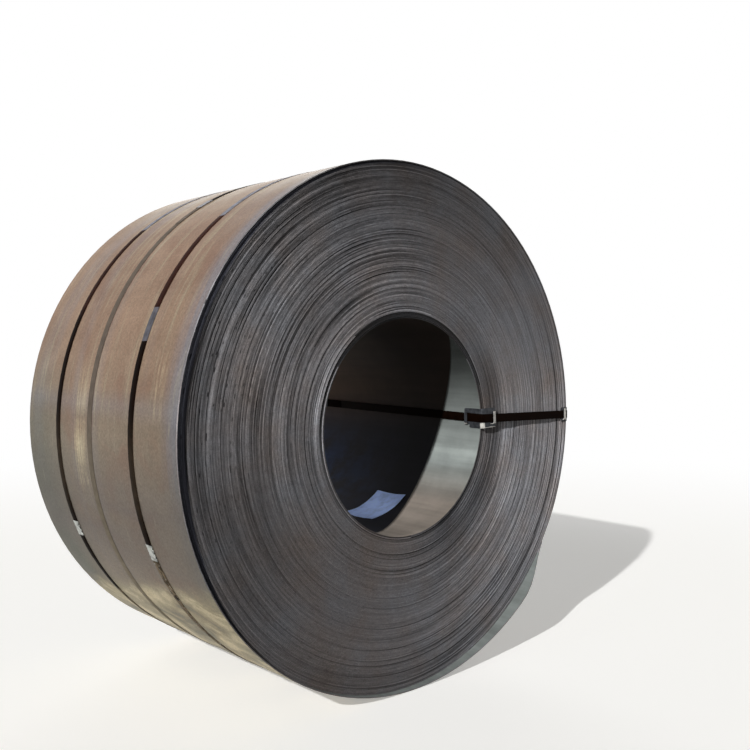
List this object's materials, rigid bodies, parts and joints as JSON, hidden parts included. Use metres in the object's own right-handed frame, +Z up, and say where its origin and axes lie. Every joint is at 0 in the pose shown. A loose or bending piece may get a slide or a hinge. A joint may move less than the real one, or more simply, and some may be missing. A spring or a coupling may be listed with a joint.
{
  "type": "steel coil",
  "caption": "Hot-rolled steel strip coil lying on its side, bound with steel girth straps and an eye strap over sheet-metal edge protectors, with a blank paper label in its bore.",
  "frame": {"origin": "on the floor under the middle of the whole piece", "axes": "+Z up; +Y along the coil's axis, from its front end to its back end; +X to the right seen from the front end"},
  "size_m": [1.8504, 1.1076, 1.8432],
  "materials": {
    "mill_scale_steel": "hot-rolled, thin mill scale with light rust staining",
    "strapping": "dark painted and waxed steel strapping, semi-gloss",
    "galvanised_steel": "bare galvanised sheet, scuffed",
    "label_paper": "matt paper, blank"
  },
  "bodies": {
    "root": {"coil_body": "mill_scale_steel", "girth_strap_front": "strapping", "girth_strap_middle": "strapping", "girth_strap_back": "strapping", "girth_seal_front": "galvanised_steel", "girth_seal_middle": "galvanised_steel", "girth_seal_back": "galvanised_steel", "eye_strap": "strapping", "eye_strap_seal": "galvanised_steel", "protector_bore_front": "galvanised_steel", "protector_bore_back": "galvanised_steel", "protector_rim_front": "galvanised_steel", "protector_rim_back": "galvanised_steel", "bore_label": "label_paper"}
  },
  "joints": []
}
